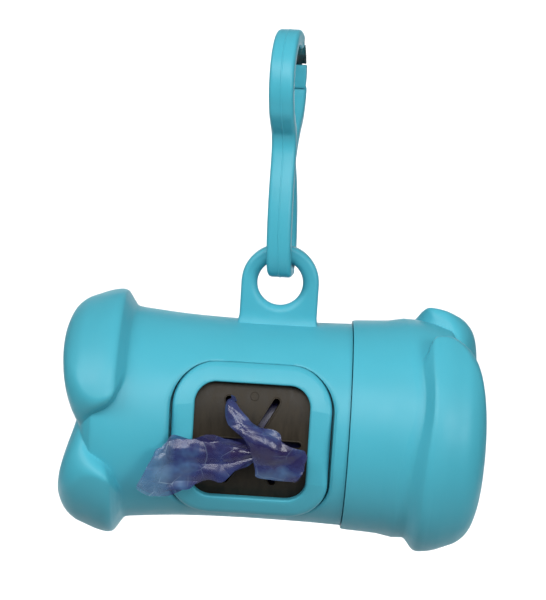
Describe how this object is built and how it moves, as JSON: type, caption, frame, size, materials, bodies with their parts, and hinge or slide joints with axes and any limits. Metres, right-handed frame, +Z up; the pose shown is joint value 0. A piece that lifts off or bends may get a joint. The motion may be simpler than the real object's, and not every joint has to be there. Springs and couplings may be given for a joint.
{
  "type": "dog poop bag dispenser",
  "caption": "Bone-shaped waste bag dispenser with a pull-off end cap, a framed star-slot bag outlet, a bag roll inside and a snap hook with a sprung gate on its top lug.",
  "frame": {"origin": "centre of the snap hook's top bow, the point that the dispenser hangs from", "axes": "+X along the bone towards its removable cap, -Y the front with the bag outlet, +Z up towards the hook"},
  "size_m": [0.0825, 0.0496, 0.1012],
  "materials": {
    "blue_plastic": "satin",
    "hook_plastic": "satin",
    "dark_rubber": "matte",
    "violet_film": "gloss",
    "wound_film": "satin",
    "cardboard": "matte",
    "spring_steel": "polished"
  },
  "bodies": {
    "hook": {"hook_body": "hook_plastic", "gate_pin": "spring_steel"},
    "gate": {"gate_leaf": "spring_steel", "gate_tip": "hook_plastic"},
    "dispenser": {"barrel_shell": "blue_plastic", "window_bezel": "blue_plastic", "outlet_plate": "dark_rubber", "bag_tail": "violet_film"},
    "roll": {"roll_core": "cardboard", "bag_roll": "wound_film"},
    "cap": {"end_cap": "blue_plastic"}
  },
  "joints": [
    {"name": "swing", "type": "hinge", "parent": "hook", "child": "dispenser", "pos_m": [0.00085, -0.00099, -0.03898], "axis": [0, 1, 0], "range_deg": [-80, 80]},
    {"name": "gate_open", "type": "hinge", "parent": "hook", "child": "gate", "pos_m": [0.00032, 0.00411, 0.00783], "axis": [-0.9897, 0.1392, -0.0328], "range_deg": [0, 45], "stiffness_Nm_per_rad": 0.03, "springref_deg": -8.59},
    {"name": "cap_off", "type": "slide", "parent": "dispenser", "child": "cap", "axis": [1, 0, 0], "range_m": [0, 0.06]},
    {"name": "roll_turn", "type": "hinge", "parent": "dispenser", "child": "roll", "pos_m": [0.00015, -0.00099, -0.06858], "axis": [1, 0, 0], "continuous": true}
  ]
}
